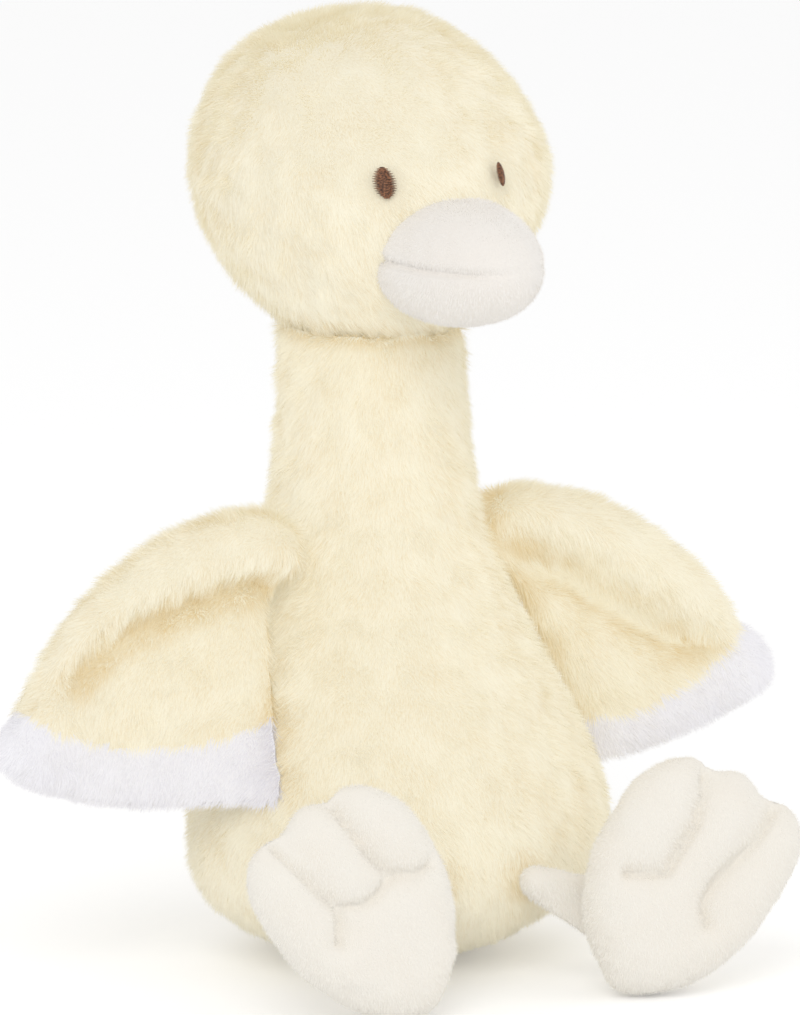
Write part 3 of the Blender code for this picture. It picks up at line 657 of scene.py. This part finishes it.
for name, (slimness, shortness, slant) in EYE_SHAPES.items():
    points = [vert.co.copy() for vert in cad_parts[name].data.vertices]
    middle = sum(points, Vector()) / len(points)
    outward = (middle - Vector((0.0, HEAD_MIDDLE, middle.z - EYE_RISE))).normalized()
    upward = (Vector((0.0, 0.0, 1.0)) - outward * outward.z).normalized()
    across = upward.cross(outward)
    half_high = shortness * max(abs((point - middle).dot(upward)) for point in points)
    half_wide = slimness * max(abs((point - middle).dot(across)) for point in points)
    bm = bmesh.new()
    for index in range(EYE_THREADS):
        level = -1.0 + 2.0 * (index + 0.5) / EYE_THREADS
        ragged = 1.0 + THREAD_RAGGED * ((-1) ** index + noise.noise(Vector((index * 1.7, 3.1, len(name)))))
        reach = half_wide * math.sqrt(1.0 - level * level) * ragged
        made = bmesh.ops.create_uvsphere(bm, u_segments=8, v_segments=10, radius=1.0)
        for vert in made["verts"]:
            down_thread, round_thread, up = vert.co.z, vert.co.x, vert.co.y
            vert.co = (middle + across * (down_thread * reach + slant * level * half_wide)
                       + upward * (level * half_high + round_thread * THREAD_THICK)
                       + outward * (THREAD_LIFT + up * THREAD_THICK
                                    + THREAD_ARCH * (1.0 - level * level) * (1.0 - down_thread ** 2)))
    eye = add_object(name + "_stitches", mesh_from(name + "_stitches", bm))
    eye.data.shade_smooth()
    eye.data.materials.append(thread)
    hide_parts(name)
    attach(eye, "head")


# Wings
# Two plush panels sewn round their rims over a little stuffing, and sewn to the body at the shoulder:
# a thick rolled leading edge with a deep crease under it, and a band of white plush along the lower
# edge. Each wing is blown up as one skin, creased, and parted where the two colours of plush meet.
# Painted shade darkens the pile along each front crease and where the wing lies against the body.

TRIM_TIP = (0.885, 0.875, 0.905)
# The trim's darker root colour is painted shade deep in its pile.
TRIM_ROOT = (0.70, 0.68, 0.74)
TRIM_LENGTH = 0.0036
WING_VOXEL = 0.0018
WING_CLOSING = 0.0036
WING_SHRINKAGE = 0.0008
WING_LUMPS = ((0.0007, 0.02, 5),)
WING_PUFF = 0.0012
SHOULDER = Vector((0.04504, 0.00452, 0.131))
WING_OUT = {-1: Vector((-0.9998, 0.0175, 0.0)), 1: Vector((0.9976, 0.0698, 0.0))}
WING_FRONT = {-1: Vector((-0.0175, -0.9998, 0.0)), 1: Vector((0.0698, -0.9976, 0.0))}
CREASE = {
    -1: ((0.0010, -0.0075), (0.0103, -0.0078), (0.0268, -0.0116), (0.0390, -0.0150), (0.0488, -0.0190),
         (0.0572, -0.0240), (0.0652, -0.0300)),
    1: ((-0.0067, -0.0023), (0.0030, -0.0082), (0.0137, -0.0149), (0.0239, -0.0229), (0.0332, -0.0295),
        (0.0437, -0.0353), (0.0516, -0.0396), (0.0570, -0.0420)),
}
CREASE_DEPTH = 0.0068
CREASE_WIDTH = {-1: 0.0045, 1: 0.0060}
CREASE_FADE = 0.0140
# Painted shade along the crease, reaching further below it than over the roll.
CREASE_PAINTED_SHADE = 0.95
PAINTED_SHADE_OVER = 0.0035
PAINTED_SHADE_UNDER = 0.0080
ROLL_GAP = {-1: 0.009, 1: 0.013}
ROLL_RISE = 0.0020
ROLL_SPREAD = 0.0060
HOLLOW_DEPTH = 0.0018
HOLLOW_GAP = 0.0065
ROOT_REACH = {-1: 0.0, 1: 0.0045}
ROOT_WIDTH = 0.016
ROOT_DROP = 0.014
ROOT_SPREAD = 0.018
ROOT_BACK = 0.5
CROWD_REACH = 0.010
TRIM_LAP = 0.0020
TRIM_ROUNDS = 10
TURNED_IN = 0.0060
HALF_WAY = 0.48
BELOW_SKIN = 0.0003
white_plush = plush("white plush", TRIM_TIP, TRIM_ROOT)
white_backing = backing("white backing", TRIM_TIP)


def close_up(made, through):
    """Close a skin where it was parted from another: turn its edge in half way through it, and fill that."""
    def change(bm):
        bm.normal_update()
        for edge in bm.edges:
            edge.smooth = not edge.is_boundary
        rim = [edge for edge in bm.edges if edge.is_boundary]
        turned_in = bmesh.ops.extrude_edge_only(bm, edges=rim)["geom"]
        inner = {item for item in turned_in if isinstance(item, bmesh.types.BMVert)}
        for vert in inner:
            outer = next(edge.other_vert(vert) for edge in vert.link_edges if edge.other_vert(vert) not in inner)
            inward = -outer.normal
            far_side = through.ray_cast(outer.co + inward * BELOW_SKIN, inward)[3]
            vert.co = outer.co + inward * min(HALF_WAY * (far_side or 0.0), TURNED_IN)
        rim = [edge for edge in bm.edges if edge.is_boundary]
        filled = bmesh.ops.holes_fill(bm, edges=rim, sides=0)["faces"]
        for face in bmesh.ops.triangulate(bm, faces=filled, ngon_method="BEAUTY")["faces"]:
            face.smooth = False
    edit(made, change)


def smoothed(made, score, rounds):
    """A score for each point of a skin, evened out with its neighbours' in some rounds."""
    scores = [score(vert.co) for vert in made.data.vertices]
    for _ in range(rounds):
        sums = [0.0] * len(scores)
        counts = [0] * len(scores)
        for edge in made.data.edges:
            first, last = edge.vertices
            sums[first] += scores[last]
            sums[last] += scores[first]
            counts[first] += 1
            counts[last] += 1
        scores = [total / max(count, 1) for total, count in zip(sums, counts)]
    return scores


def from_line(line, point):
    """How far a point of a plane is from a line of points in it, and whether it lies over it."""
    best = (1.0, False)
    for start, end in zip(line, line[1:]):
        step = (end[0] - start[0], end[1] - start[1])
        share = (point[0] - start[0]) * step[0] + (point[1] - start[1]) * step[1]
        share /= step[0] ** 2 + step[1] ** 2
        share = min(max(share, 0.0), 1.0)
        gap = (point[0] - start[0] - share * step[0], point[1] - start[1] - share * step[1])
        best = min(best, (math.hypot(*gap), gap[1] > 0.0))
    return best


for side, word in ((-1, "right"), (1, "left")):
    shoulder = Vector((side * SHOULDER.x, SHOULDER.y, SHOULDER.z))

    def at_crease(place):
        return from_line(CREASE[side], ((place - shoulder).dot(WING_OUT[side]), place.z - shoulder.z))

    def fold_wing(place, normal):
        """Press the crease into the front, hollow the panel below it, swell the roll over it and tuck the root."""
        facing = max(normal.dot(WING_FRONT[side]), 0.0)
        gap, over = at_crease(place)
        dent = CREASE_DEPTH * math.exp(-(gap / CREASE_WIDTH[side]) ** 2)
        if over:
            rise = ROLL_RISE * math.exp(-((gap - ROLL_GAP[side]) / ROLL_SPREAD) ** 2)
        else:
            rise = -HOLLOW_DEPTH * math.exp(-((gap - HOLLOW_GAP) / HOLLOW_GAP) ** 2)
        fade = min(to_trim(place) / CREASE_FADE, 1.0)
        out, down = (place - shoulder).dot(WING_OUT[side]), shoulder.z - place.z
        tuck = ROOT_REACH[side] * max(1.0 - out / ROOT_WIDTH, 0.0) * math.exp(-((down - ROOT_DROP) / ROOT_SPREAD) ** 2)
        return (WING_FRONT[side] * (facing * fade * (rise - dent) - ROOT_BACK * tuck)
                - WING_OUT[side] * min(tuck, ROOT_REACH[side]))

    fur_nodes = [f"wing_{word}_{part}" for part in ("front", "back", "filling")]
    trim_nodes = [f"wing_{word}_trim"]
    whole = stuffed_skin(f"wing_{word}_whole", fur_nodes + trim_nodes, WING_VOXEL, closing=WING_CLOSING)
    to_fur, to_trim = nearest_to(fur_nodes[:2]), nearest_to(trim_nodes)
    near_body = crowding(["body_cover", "body_filling"], CROWD_REACH)

    def crease_painted_shade(place):
        """Painted shade, deepest along the crease, and reaching further below it than on the roll."""
        gap, over = at_crease(place)
        return CREASE_PAINTED_SHADE * math.exp(-(gap / (PAINTED_SHADE_OVER if over else PAINTED_SHADE_UNDER)) ** 2)

    def wing_fold_and_shade(place):
        crease = crease_painted_shade(place) if place.y < shoulder.y else 0.0
        return max(near_body(place), crease)

    inflate(whole, lambda place: math.exp(-(at_crease(place)[0] / CREASE_WIDTH[side]) ** 2), WING_PUFF)
    move_points(whole, fold_wing)
    move_points(whole, uneven(WING_LUMPS, WING_SHRINKAGE))
    comb(whole, lambda place: Vector((side * 0.5, 0.0, -0.8)), fold=wing_fold_and_shade)
    furry = smoothed(whole, lambda place: to_trim(place) - to_fur(place) - TRIM_LAP, TRIM_ROUNDS)
    wing = only(whole, lambda face: sum(furry[vert.index] for vert in face.verts) >= 0.0)
    trim = only(whole, lambda face: sum(furry[vert.index] for vert in face.verts) < 0.0)
    through = BVHTree.FromPolygons([vert.co for vert in whole.data.vertices],
                                   [face.vertices for face in whole.data.polygons])
    bpy.data.objects.remove(whole)
    for skin, piece, nodes_held, kind, ground, growth, length in (
        (wing, f"wing_{word}", fur_nodes, "fur", yellow_backing, yellow_plush, FUR_LENGTH),
        (trim, f"wing_{word}_trim", trim_nodes, "white_plush", white_backing, white_plush, TRIM_LENGTH),
    ):
        skin.name = piece + "_skin"
        skin.data.materials.append(ground)
        pile = grow_pile(skin, piece + "_pile", growth, FUR_PER_MM2, length, FUR_WIDTH, FUR_LEAN, seed=31)
        close_up(skin, through)
        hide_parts(*nodes_held)
        for made in (skin, pile):
            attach(made, f"wing_{word}")


# Legs and feet
# Short velour tubes gathered at the hip, and flat stuffed feet of the same velour sewn to their ends.
# Stitching through both panels draws each foot in between its three toes.

FOOT_VELOUR = (0.875, 0.845, 0.78)
# The feet's fuzz is darkened towards its roots by this share, as painted shade.
FOOT_ROOTS = 0.94
LEG_VOXEL = 0.0016
FOOT_VOXEL = 0.0020
FOOT_CLOSING = 0.0014
FOOT_FRAMES = {
    -1: (Vector((-0.0328, -0.0765, 0.0060)), Vector((-0.8572, -0.0717, -0.5100)), Vector((-0.5150, 0.1193, 0.8488))),
    1: (Vector((0.0333, -0.0800, 0.0062)), Vector((0.7856, -0.2761, -0.5538)), Vector((0.5705, -0.0233, 0.8210))),
}
STITCHING = {
    -1: (((0.0145, 0.0733), (0.0135, 0.0630), (0.0116, 0.0508), (0.0095, 0.0426), (0.0115, 0.0387), (0.0153, 0.0344)),
         ((0.0095, 0.0426), (0.0027, 0.0392), (-0.0041, 0.0388), (-0.0103, 0.0401)),
         ((-0.0089, 0.0720), (-0.0082, 0.0584), (-0.0078, 0.0515), (-0.0090, 0.0446), (-0.0103, 0.0401),
          (-0.0174, 0.0359), (-0.0240, 0.0346))),
    1: (((-0.0125, 0.0720), (-0.0091, 0.0574), (-0.0072, 0.0506), (-0.0075, 0.0424), (-0.0074, 0.0339),
         (-0.0123, 0.0303), (-0.0179, 0.0272)),
        ((0.0130, 0.0700), (0.0115, 0.0550), (0.0091, 0.0456), (0.0075, 0.0385), (0.0073, 0.0332), (0.0087, 0.0302),
         (0.0118, 0.0268))),
}
STITCH_DEPTH = 0.0028
STITCH_WIDTH = 0.0013
STITCH_HELD = 0.0030
TOE_DIP = 0.0014
TOE_ROUNDING = 0.0045
FACE_SHARE = 1.3
FOOT_PUFF = 0.0018
foot_velour = velour("foot velour", FOOT_VELOUR)
foot_fuzz = plush("foot fuzz", FOOT_VELOUR, [FOOT_ROOTS * part for part in FOOT_VELOUR], sheen=0.2)

for side, word in ((-1, "right"), (1, "left")):
    heel, across, along = FOOT_FRAMES[side]

    def stitch_gap(place):
        spot = ((place - heel).dot(across), (place - heel).dot(along))
        return min(from_line(line, spot)[0] for line in STITCHING[side])

    def stitched(place, normal):
        """Draw the foot in along its toe stitching, on both faces and less on its rim."""
        facing = min(abs(normal.dot(across.cross(along))) * FACE_SHARE, 1.0)
        gap = stitch_gap(place)
        return normal * -facing * (STITCH_DEPTH * math.exp(-(gap / STITCH_WIDTH) ** 2)
                                   + TOE_DIP * math.exp(-(gap / TOE_ROUNDING) ** 2))

    leg_nodes = [f"leg_{word}"]
    foot_nodes = [f"foot_{word}_{part}" for part in ("sole", "top", "filling")]
    leg = stuffed_skin(f"leg_{word}_skin", leg_nodes, LEG_VOXEL)
    foot = stuffed_skin(f"foot_{word}_skin", foot_nodes, FOOT_VOXEL, rounds=3, closing=FOOT_CLOSING)
    inflate(foot, lambda place: math.exp(-(stitch_gap(place) / STITCH_HELD) ** 4), FOOT_PUFF)
    subdivide(foot)
    move_points(foot, stitched)
    for skin, nodes_held, piece in ((leg, leg_nodes, f"leg_{word}"), (foot, foot_nodes, f"foot_{word}")):
        skin.data.materials.append(foot_velour)
        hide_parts(*nodes_held)
        comb(skin, lambda place: DOWN)
        fuzz = grow_pile(skin, piece + "_fuzz", foot_fuzz, FUZZ_PER_MM2, FUZZ_LENGTH, FUZZ_WIDTH, FUZZ_LEAN,
                         seed=41)
        for made in (skin, fuzz):
            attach(made, piece)
